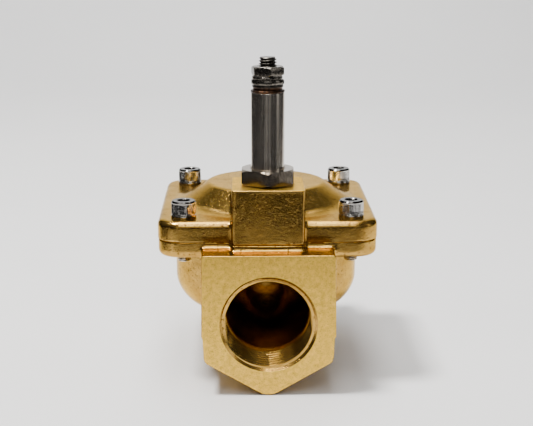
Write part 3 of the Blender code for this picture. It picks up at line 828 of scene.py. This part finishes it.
def passage_field(x, y, z):
    """Space inside the body: outlet duct with its elbow, seat bore, ring chamber and recess."""
    radius = np.hypot(x, y)
    across = np.hypot(x, z - PORT_AXIS)
    ball = np.hypot(radius, z - PORT_AXIS)
    reach = HALF_LENGTH - THREAD_DEPTH + 1.5
    duct = np.maximum(across - BORE_R + 0.3, np.maximum(-reach - y, y))
    elbow = smooth_union(duct, ball - ELBOW_R, 1.0)
    well = np.maximum(radius - SEAT_BORE_R, np.maximum(PORT_AXIS - z, z - SEAT_Z - 1))
    outlet = smooth_union(elbow, well, 2.0)
    walls = np.maximum(across - BORE_R - 2.0, y)
    walls = np.minimum(walls, ball - ELBOW_R - 1.7)
    walls = smooth_union(walls, np.maximum(radius - SEAT_OUTER_R, z - SEAT_Z), 1.5)
    chamber_floor, inlet_start = 26.9, 17.0
    chamber = smooth_cut(radius - CHAMBER_R, chamber_floor - z, 3.0)
    inlet = np.maximum(across - BORE_R + 0.3, np.maximum(inlet_start - y, y - reach))
    chamber = smooth_union(chamber, inlet, 1.5)
    chamber = smooth_cut(chamber, -walls, 0.8)
    recess = np.maximum(radius - RECESS_R, JOINT_Z - 1.9 - z)
    return np.minimum(np.minimum(outlet, chamber), recess)


def forging_ripple(x, y, z):
    """Slight unevenness of a forged skin, never outward."""
    wave = np.sin(0.31 * x + 1.3) * np.sin(0.27 * y + 0.4) + np.sin(0.23 * z + 0.17 * x + 2.0)
    return 0.02 * (wave + 2.0)


def port_tools(side):
    """Cutters for one port: thread, the relief behind it, bore, lip and the mouth's chamfer."""
    face = side * HALF_LENGTH
    depth = face - side * THREAD_DEPTH
    bore_end = -4.0 if side < 0 else 21.0
    low, high = sorted((face + side, depth))
    yield threaded(
        "port_thread", THREAD_MINOR_R, THREAD_MAJOR_R, THREAD_PITCH, low, high, axis="Y", steps=120,
        land=0.8,
    )
    cuts = (
        ("relief", depth + side * 0.6, depth - side * 0.9, THREAD_MINOR_R + 0.15, None),
        ("bore", depth, bore_end, BORE_R, None),
        ("lip", depth - side * 0.8, depth - side * 1.45, BORE_R + 0.6, BORE_R - 0.05),
        ("mouth", face + side, face - side * MOUTH_CHAMFER, MOUTH_R + 1, MOUTH_R - MOUTH_CHAMFER),
    )
    for name, start, end, radius, end_radius in cuts:
        yield rod(name, (0, start, PORT_AXIS), (0, end, PORT_AXIS), radius, end_radius, 144)


def make_body():
    cell, face_cell = 0.62, 0.13
    faces = tuple((side * HALF_LENGTH, 0.5, face_cell) for side in (-1, 1))
    levels = ((0.0, 0.5, 0.25), (FLANGE_BOTTOM, 0.5, 0.4), (JOINT_Z, 0.45, 0.15))
    xs = graded(-BODY_HALF - 1, BODY_HALF + 1, cell)
    ys = graded(-HALF_LENGTH - 1, HALF_LENGTH + 1, cell, faces)
    zs = graded(-1.0, JOINT_Z + 0.8, 0.6, levels)
    x, y, z = xs[:, None, None], ys[None, :, None], zs[None, None, :]
    solid = body_field(x, y, z)
    solid = solid + forging_ripple(x, y, z) * (np.abs(y) < HALF_LENGTH - 0.6)
    field = smooth_cut(solid, -passage_field(x, y, z), 0.4)
    body = field_object("body_forging", field, xs, ys, zs, 0.5)
    for side in (-1, 1):
        for tool in port_tools(side):
            boolean(body, tool)
    for name in SCREW_NAMES:
        place = middle("cap_screw_" + name).xy
        drill(body, place, FLANGE_BOTTOM - 2, JOINT_Z + 1, 2.7, steps=40)
    drain_top, drain_end = (0, PILOT_HOLE_Y, JOINT_Z + 1), (0, -29.0, PORT_AXIS + 12)
    boolean(body, rod("drain", drain_top, drain_end, 1.4, steps=32))
    drill(body, (0, PILOT_HOLE_Y), JOINT_Z - 1.1, JOINT_Z + 1, 3.1, steps=40)
    dress(body, "body_brass", HOUSING, "valve_body", 38.0, weighted=True)


# ---- bonnet ----
def bonnet_field(x, y, z):
    radius = np.hypot(x, y)
    outline = rectangle(x, y, BONNET_HALF, BONNET_HALF, CORNER_R)
    plate = slab(z, BONNET_BOTTOM, BONNET_TOP, 0.2, 2.3, outline)
    fall = atan2(DOME_TOP - BONNET_TOP, DOME_FOOT_R - DOME_TOP_R)
    cone = (radius - DOME_TOP_R) * sin(fall) + (z - DOME_TOP) * cos(fall)
    dome = smooth_cut(cone, z - DOME_TOP, 0.45)
    dome = np.maximum(dome, BONNET_TOP - 2 - z)
    solid = smooth_union(plate, dome, 1.6)
    boss_outline = rectangle(x, y - BOSS_Y, BOSS_HALF_X, BOSS_HALF_Y, 1.1)
    boss = slab(z, BONNET_BOTTOM, BOSS_TOP, 0.3, 0.16, boss_outline)
    solid = smooth_union(solid, boss, 1.0)
    wall = 4.4
    inner = (radius - 15.5) * sin(fall) + (z - DOME_TOP + wall) * cos(fall)
    cavity = np.maximum(np.maximum(inner, z - DOME_TOP + wall), radius - 28.2)
    return solid, cavity


def make_bonnet():
    half = BONNET_HALF + 1
    fine_top = (BONNET_TOP - 0.7, 0.9, 0.33)
    xs = graded(-half, half, 0.55)
    ys = graded(BOSS_FRONT - 1, half, 0.55, ((BOSS_FRONT, 0.4, 0.2),))
    zs = graded(
        BONNET_BOTTOM - 0.8, BOSS_TOP + 0.8, 0.5,
        ((BONNET_BOTTOM, 0.45, 0.15), fine_top, (DOME_TOP, 0.4, 0.3), (BOSS_TOP, 0.3, 0.08)),
    )
    x, y, z = xs[:, None, None], ys[None, :, None], zs[None, None, :]
    solid, cavity = bonnet_field(x, y, z)
    solid = solid + forging_ripple(x, y, z + 30.0) * (np.abs(z - BOSS_TOP) > 0.5)
    bonnet = field_object("bonnet_forging", smooth_cut(solid, -cavity, 0.4), xs, ys, zs, 0.55)
    for name in SCREW_NAMES:
        place = middle("cap_screw_" + name).xy
        drill(bonnet, place, BONNET_BOTTOM - 1, BONNET_TOP + 1, 2.8, steps=40)
    drill(bonnet, BOSS_AXIS, BOSS_TOP - 8.7, BOSS_TOP + 1, GLAND_R, steps=96)
    drill(bonnet, BOSS_AXIS, BOSS_TOP - 0.6, BOSS_TOP + 0.4, GLAND_R, GLAND_R + 1, 96)
    drill(bonnet, BOSS_AXIS, BOSS_TOP - 11.9, BOSS_TOP - 8, 5.6, steps=72)
    drill(bonnet, BOSS_AXIS, BOSS_TOP - 14.1, BOSS_TOP - 11, 3.15, steps=48)
    pilot_ways = (
        ((0, BOSS_Y, BOSS_TOP - 13.6), (0, PILOT_HOLE_Y, JOINT_Z - 0.5), 1.2),
        ((0, BOSS_Y + 4, BOSS_TOP - 10.9), (0, -20, JOINT_Z + 3), 1.0),
    )
    for start, end, radius in pilot_ways:
        boolean(bonnet, rod("pilot_way", start, end, radius, steps=24))
    dress(bonnet, "bonnet_brass", HOUSING, "bonnet", 38.0, weighted=True)


# ---- operator ----
def chamfered_hexagon(name, across_flats, low, high, place, turn, top_inset, low_inset):
    """A hexagon nut blank; each inset is how far inside the flats its end face's edge lies."""
    blank = hexagon_prism(name, across_flats, low, high, place, turn)
    flat = across_flats / 2
    over = across_flats / sqrt(3) + 1
    slope = tan(radians(30.0))
    top_r, low_r = flat - top_inset, flat - low_inset
    profile = [
        (0.0, high), (top_r, high), (over, high - (over - top_r) * slope),
        (over, low + (over - low_r) * slope), (low_r, low), (0.0, low),
    ]
    barrel = lathe(name + "_barrel", profile, place, steps=144)
    return boolean(blank, barrel, "INTERSECT", "EXACT")


def make_base_nut():
    low, high = node_box("base_nut")
    across_flats, turn, bore_r = 18.0, radians(28.5), 6.0
    hex_low = BOSS_TOP + 0.5
    nut = chamfered_hexagon(
        "base_nut_hexagon", across_flats, hex_low, high.z, BOSS_AXIS, turn, -0.05, -0.3,
    )
    shank = threaded("gland_shank", 6.3, 6.9, 1.0, low.z, hex_low + 0.6, BOSS_AXIS, chamfer=0.5)
    boolean(nut, shank, "UNION", "EXACT")
    drill(nut, BOSS_AXIS, low.z - 1, high.z + 1, bore_r, steps=96, solver="EXACT")
    drill(nut, BOSS_AXIS, high.z - 0.4, high.z + 0.6, bore_r - 0.05, bore_r + 0.95, 96, "EXACT")
    bevel(nut, 0.12, 2, 28.0)
    dress(nut, "nut_stainless", HOUSING, "base_nut", 30.0)


def make_tube():
    low, high = node_box("armature_tube")
    collar_top = low.z + 1.5
    profile = rounded([
        (TUBE_BORE_R, high.z), (TUBE_R, high.z), (TUBE_R, collar_top), (COLLAR_R, collar_top),
        (COLLAR_R, low.z), (TUBE_BORE_R, low.z),
    ], 0.15, steps=4)
    tube = lathe("armature_tube_drawn", profile, BOSS_AXIS, steps=128, ring=True)
    dress(tube, "tube_stainless", HOUSING, "armature_tube", 40.0)


def make_core():
    """Fixed core, its weld bead, the groove above it and the threaded stud."""
    low, high = node_box("fixed_core")
    weld = node_box("armature_tube")[1].z
    cap = node_box("lock_washer")[0].z - 0.15
    groove_top = low.z + 1.2
    profile = rounded([
        (0.0, cap + 0.6), (2.6, cap + 0.6), (2.6, cap), (5.35, cap), (5.45, cap - 0.5),
        (5.1, cap - 1.0), (5.15, weld + 0.9), (5.45, weld + 0.35), (CORE_R, weld + 0.1),
        (CORE_R, low.z), (4.15, low.z), (4.15, groove_top), (3.25, groove_top), (3.25, low.z),
        (0.0, low.z),
    ], 0.14, closed=False)
    core = lathe("core_and_stud", profile, BOSS_AXIS)
    stud = threaded("stud", 2.45, 3.1, STUD_PITCH, cap + 0.05, high.z, BOSS_AXIS, chamfer=0.55)
    boolean(core, stud, "UNION", "EXACT")
    bead_r, bead_out, bead_half = 5.1, 0.78, 0.6

    def bead_radius(angles, height):
        share = (height - weld - 0.45) / bead_half
        body = sqrt(max(0.0, 1 - share * share))
        ripple = 0.05 * np.sin(23 * angles) + 0.04 * np.sin(7 * angles + 1.0) * np.sign(share)
        return bead_r + (bead_out + ripple) * body

    heights = np.linspace(weld - 0.11, weld + 1.01, 13)
    bead = radial("weld_bead", heights, bead_radius, BOSS_AXIS, steps=184)
    boolean(core, bead, "UNION", "EXACT")
    dress(core, "core_stainless", HOUSING, "fixed_core", 40.0)


def make_washers():
    low, high = node_box("lock_washer")
    thickness = 1.75
    ring = sweep_ring(
        "lock_washer_split", STUD_BORE_R, 5.72, low.z, thickness, high.z - low.z - thickness,
        radians(-11.0), radians(14.0), BOSS_AXIS,
    )
    dress(ring, "dark_steel", HOUSING, "lock_washer", 35.0)
    low, high = node_box("coil_washer")
    outer = 5.3
    turned("coil_washer", "_pressed", [
        (STUD_BORE_R, high.z), (outer, high.z), (outer, low.z), (STUD_BORE_R, low.z),
    ], 0.28, "dark_steel", (-0.12, BOSS_Y))


def make_coil_nut():
    low, high = node_box("coil_nut")
    across_flats, turn = 10.4, radians(-81.0)
    nut = chamfered_hexagon(
        "coil_nut_hexagon", across_flats, low.z, high.z, BOSS_AXIS, turn, 0.15, 0.15,
    )
    drill(nut, BOSS_AXIS, low.z - 1, high.z + 1, 3.15, solver="EXACT")
    bevel(nut, 0.12, 2, 28.0)
    dress(nut, "dark_steel", HOUSING, "coil_nut", 30.0)


# ---- bonnet fasteners ----
def make_cap_screw(name, turn):
    low, high = node_box("cap_screw_" + name)
    place = ((low.x + high.x) / 2, (low.y + high.y) / 2)
    head_r = (high.x - low.x) / 2
    head_high, ridges = 5.0, 52
    head_low = high.z - head_high

    def head_radius(angles, height):
        up = height - head_low
        knurl = 0.0 if up < 0.5 or up > 4.2 else 0.09
        edge = max(0.0, up - 4.45) * 0.9 + max(0.0, 0.25 - up) * 0.8
        return head_r - edge - knurl * (0.5 + 0.5 * np.cos(ridges * angles))

    rows = (0.0, 0.12, 0.25, 0.45, 0.55, 1.6, 2.8, 3.9, 4.15, 4.3, 4.45, 4.65, 4.85, head_high)
    heights = [head_low + row for row in rows]
    screw = radial("screw_" + name, heights, head_radius, place, steps=ridges * 6)
    shank = threaded(
        "shank_" + name, 2.1, 2.5, 0.8, low.z, head_low + 0.3, place, chamfer=0.5, steps=48,
    )
    boolean(screw, shank, "UNION", "EXACT")
    socket = hexagon_prism("socket", 4.1, high.z - 2.6, high.z + 1, place, turn)
    boolean(screw, socket, solver="EXACT")
    drill(screw, place, high.z - 0.35, high.z + 0.25, 2.05, 2.65, 48, "EXACT")
    dress(screw, "plated_steel", HOUSING, "cap_screw_" + name, 28.0)


def make_spring_washer(name, start):
    low, high = node_box("spring_washer_" + name)
    place = ((low.x + high.x) / 2, (low.y + high.y) / 2)
    outer = (high.x - low.x) / 2
    washer = sweep_ring(
        "washer_" + name, 2.65, outer, low.z, high.z - low.z, 0.0, start, radians(10), place,
        steps=72,
    )
    dress(washer, "plated_steel", HOUSING, "spring_washer_" + name, 35.0)


# ---- inside ----
def make_diaphragm():
    low, high = node_box("diaphragm")
    closed = low.z
    top = closed + 2.6
    rim_low = JOINT_Z - 1.7
    rim_r = 34.3
    profile = rounded([
        (PLATE_BORE_R, top), (17.6, top), (19.6, top + 0.7), (26.6, high.z - 0.7), (28.2, high.z),
        (rim_r, high.z), (rim_r, rim_low), (29.2, rim_low), (27.6, rim_low - 0.6),
        (20.0, closed + 0.6), (18.6, closed), (PLATE_BORE_R, closed),
    ], 0.7, steps=4)
    rubber_disc = lathe("diaphragm_rubber", profile, steps=144, ring=True)
    dress(rubber_disc, "nitrile_rubber", None, "diaphragm", 60.0)
    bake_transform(rubber_disc)


def make_plates():
    low, high = node_box("support_plate")
    axis = (0.0, 0.0)
    plate_top, plate_r = low.z + 1.5, 17.0
    turned("support_plate", "_pressed", [
        (PLATE_BORE_R, plate_top), (15.4, plate_top), (15.9, high.z), (plate_r, high.z),
        (plate_r, low.z), (PLATE_BORE_R, low.z),
    ], 0.35, "stainless_plate", axis, DIAPHRAGM_BODY, steps=128, soft=32.0)
    low, high = node_box("clamp_disc")
    turned("clamp_disc", "_turned", [
        (PLATE_BORE_R, high.z), (11.8, high.z), (11.8, low.z + 0.6), (11.2, low.z),
        (PLATE_BORE_R, low.z),
    ], 0.25, "inner_brass", axis, DIAPHRAGM_BODY, soft=32.0)
    low, high = node_box("clamp_screw")
    head_top = node_box("clamp_disc")[0].z - 0.2
    head_r, root_r = 5.0, 2.4
    screw = lathe("clamp_screw_turned", rounded([
        (0.0, head_top + 0.5), (root_r, head_top + 0.5), (root_r, head_top), (head_r, head_top),
        (head_r, head_top - 1.6), (4.4, low.z), (0.0, low.z),
    ], 0.2, closed=False), steps=64)
    thread = threaded("clamp_thread", root_r, 2.9, 1.0, head_top + 0.1, high.z, chamfer=0.5)
    boolean(screw, thread, "UNION", "EXACT")
    low, high = node_box("clamp_nut")
    nut = chamfered_hexagon("clamp_nut_hexagon", 10.0, low.z, high.z, axis, 0.0, 0.2, 0.2)
    drill(nut, axis, low.z - 1, high.z + 1, 3.1, solver="EXACT")
    bevel(nut, 0.12, 2, 28.0)
    for piece, node in ((screw, "clamp_screw"), (nut, "clamp_nut")):
        dress(piece, "stainless_plate", DIAPHRAGM_BODY, node, 32.0)


def make_springs():
    springs = (
        ("diaphragm_spring", "diaphragm_lift", 10.0, 0.6, 6, 0.0),
        ("plunger_spring", "plunger_lift", 2.0, 0.25, 10, BOSS_Y),
    )
    for node, joint, radius, wire, turns, y in springs:
        low, high = node_box(node)
        centre = middle(node)
        spring = coil(node + "_wire", radius, wire, low.z, high.z, turns, (0.0, y))
        dress(spring, "spring_steel", HOUSING, node, 50.0)
        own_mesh(spring)


def make_plunger():
    low, high = node_box("plunger")
    floor, roof = high.z - 9.0, low.z + 2.4
    plunger_r, chamfer = 4.7, 0.4
    turned("plunger", "_turned", [
        (0.0, floor), (2.6, floor), (2.6, high.z), (plunger_r - chamfer, high.z),
        (plunger_r, high.z - chamfer), (plunger_r, low.z + chamfer), (plunger_r - chamfer, low.z),
        (3.2, low.z), (3.2, roof), (0.0, roof),
    ], 0.15, "stainless_plate", BOSS_AXIS, PLUNGER_BODY, ring=False, soft=32.0)
    low, high = node_box("plunger_seal")
    turned("plunger_seal", "_disc", [
        (0.0, high.z), (3.05, high.z), (3.05, low.z), (0.0, low.z),
    ], 0.25, "nitrile_rubber", BOSS_AXIS, PLUNGER_BODY, steps=72, ring=False, soft=32.0)


def make_small_rings():
    for node, radius, cord in (("tube_o_ring", 6.35, 0.6), ("passage_o_ring", 2.2, 0.5)):
        centre = middle(node)
        turns = [2 * pi * i / CORD_STEPS for i in range(CORD_STEPS)]
        section = [(radius + cord * sin(turn), centre.z + cord * cos(turn)) for turn in turns]
        ring = lathe(node + "_cord", section, (0.0, centre.y), steps=96, ring=True)
        dress(ring, "nitrile_rubber", HOUSING, node, 60.0)
    low, high = node_box("shading_ring")
    inner, outer = 3.4, 4.0
    turned("shading_ring", "_drawn", [
        (inner, high.z), (outer, high.z), (outer, low.z), (inner, low.z),
    ], 0.12, "copper", BOSS_AXIS)
    low, high = node_box("pilot_seat")
    orifice_r, nose_r, step, foot_r = 0.6, 1.2, 1.2, 2.95
    turned("pilot_seat", "_turned", [
        (orifice_r, high.z), (nose_r, high.z), (1.9, high.z - step), (foot_r, high.z - step),
        (foot_r, low.z), (orifice_r, low.z),
    ], 0.15, "stainless_plate", BOSS_AXIS, steps=64)


# ---- studio ----
def aim(obj, place, target):
    obj.location = Vector(place)
    obj.rotation_euler = (Vector(target) - Vector(place)).to_track_quat("-Z", "Y").to_euler()


def area_light(name, place, target, width, height, power, colour=(1.0, 1.0, 1.0)):
    data = bpy.data.lights.new(name, "AREA")
    data.shape = "RECTANGLE"
    data.size = width
    data.size_y = height
    data.energy = power
    data.color = colour
    light = bpy.data.objects.new(name, data)
    bpy.context.scene.collection.objects.link(light)
    aim(light, place, target)
    return light


def make_paper():
    """White paper sweeping up behind the valve, and a loose sheet on the table in front."""
    front, bend, radius, top = -0.192, 0.75, 0.45, 1.3
    left_edge, right_edge, spread = -0.19, 0.42, 0.45
    path = [(front, 0.0), (0.0, 0.0), (0.4, 0.0)]
    for i in range(13):
        angle = pi / 2 * i / 12
        path.append((bend + radius * sin(angle), radius * (1 - cos(angle))))
    path.append((bend + radius, top))
    vertices = []
    for edge in (left_edge, right_edge):
        side = 1 if edge > 0 else -1
        vertices += [(edge + side * spread * max(0.0, y), y, z) for y, z in path]
    count = len(path)
    faces = [(i, i + count, i + count + 1, i + 1) for i in range(count - 1)]
    mesh = bpy.data.meshes.new("paper")
    mesh.from_pydata(vertices, [], faces)
    mesh.shade_smooth()
    mesh.materials.append(floor_material())
    paper = link("paper", mesh)
    paper.location.z = -0.0002
    near, far = -0.33, -0.60
    corners = [(-0.077, near, 0.0), (-0.115, near, 0.0), (-0.215, far, 0.0), (-0.150, far, 0.0)]
    sheet = bpy.data.meshes.new("loose_sheet")
    sheet.from_pydata(corners, [], [(0, 1, 2, 3)])
    sheet.materials.append(mesh.materials[0])
    link("loose_sheet", sheet)


def make_world():
    """A dim room, a little brighter overhead."""
    world = bpy.data.worlds.new("studio")
    bpy.context.scene.world = world
    world.use_nodes = True
    tree = world.node_tree
    way = tree.nodes.new("ShaderNodeTexCoord").outputs["Generated"]
    split = tree.nodes.new("ShaderNodeSeparateXYZ")
    ramp = tree.nodes.new("ShaderNodeValToRGB")
    tree.links.new(way, split.inputs[0])
    tree.links.new(split.outputs[2], ramp.inputs[0])
    tree.links.new(ramp.outputs[0], tree.nodes["Background"].inputs[0])
    low, high = ramp.color_ramp.elements
    low.position, low.color = 0.05, (0.03, 0.03, 0.032, 1.0)
    high.position, high.color = 0.95, (0.16, 0.165, 0.17, 1.0)


def make_studio():
    make_paper()
    make_world()
    target = (0.0, 0.0, 0.05)
    area_light("overhead", (0.0, 0.1, 1.05), target, 0.28, 1.2, 9.0, (1.0, 0.985, 0.965))
    area_light("main", (-0.34, -0.10, 1.02), target, 0.2, 0.2, 19.0, (1.0, 0.985, 0.965))
    area_light("front_top", (0.0, -0.78, 0.85), target, 0.32, 0.5, 2.6)
    area_light("front", (0.0, -1.3, 0.42), target, 1.0, 0.45, 1.0)
    area_light("backdrop", (0.0, 0.75, 0.95), (0.0, 1.2, 0.25), 0.9, 0.2, 4.5)
    area_light("side_right", (0.75, -0.25, 0.30), target, 0.25, 0.4, 0.4)


def make_camera():
    distance = 0.4793
    pitch, yaw = radians(12.90), radians(-1.20)
    target = Vector((0.00025, 0.0, 0.05349))
    forward = Vector((-sin(yaw) * cos(pitch), cos(yaw) * cos(pitch), -sin(pitch)))
    data = bpy.data.cameras.new("photo_view")
    data.sensor_width = 36.0
    data.lens = 86.06
    data.clip_start = 0.01
    camera = bpy.data.objects.new("photo_view", data)
    bpy.context.scene.collection.objects.link(camera)
    aim(camera, target - forward * distance, target)
    bpy.context.scene.camera = camera


def main():
    make_camera()
    make_body()
    make_bonnet()
    make_base_nut()
    make_tube()
    make_core()
    make_washers()
    make_coil_nut()
    for n, name in enumerate(SCREW_NAMES):
        make_cap_screw(name, radians((12.0, 47.0, 30.0, 5.0)[n]))
        make_spring_washer(name, radians((-60.0, 200.0, 80.0, 130.0)[n]))
    make_diaphragm()
    make_plates()
    make_springs()
    make_plunger()
    make_small_rings()
    make_studio()


main()
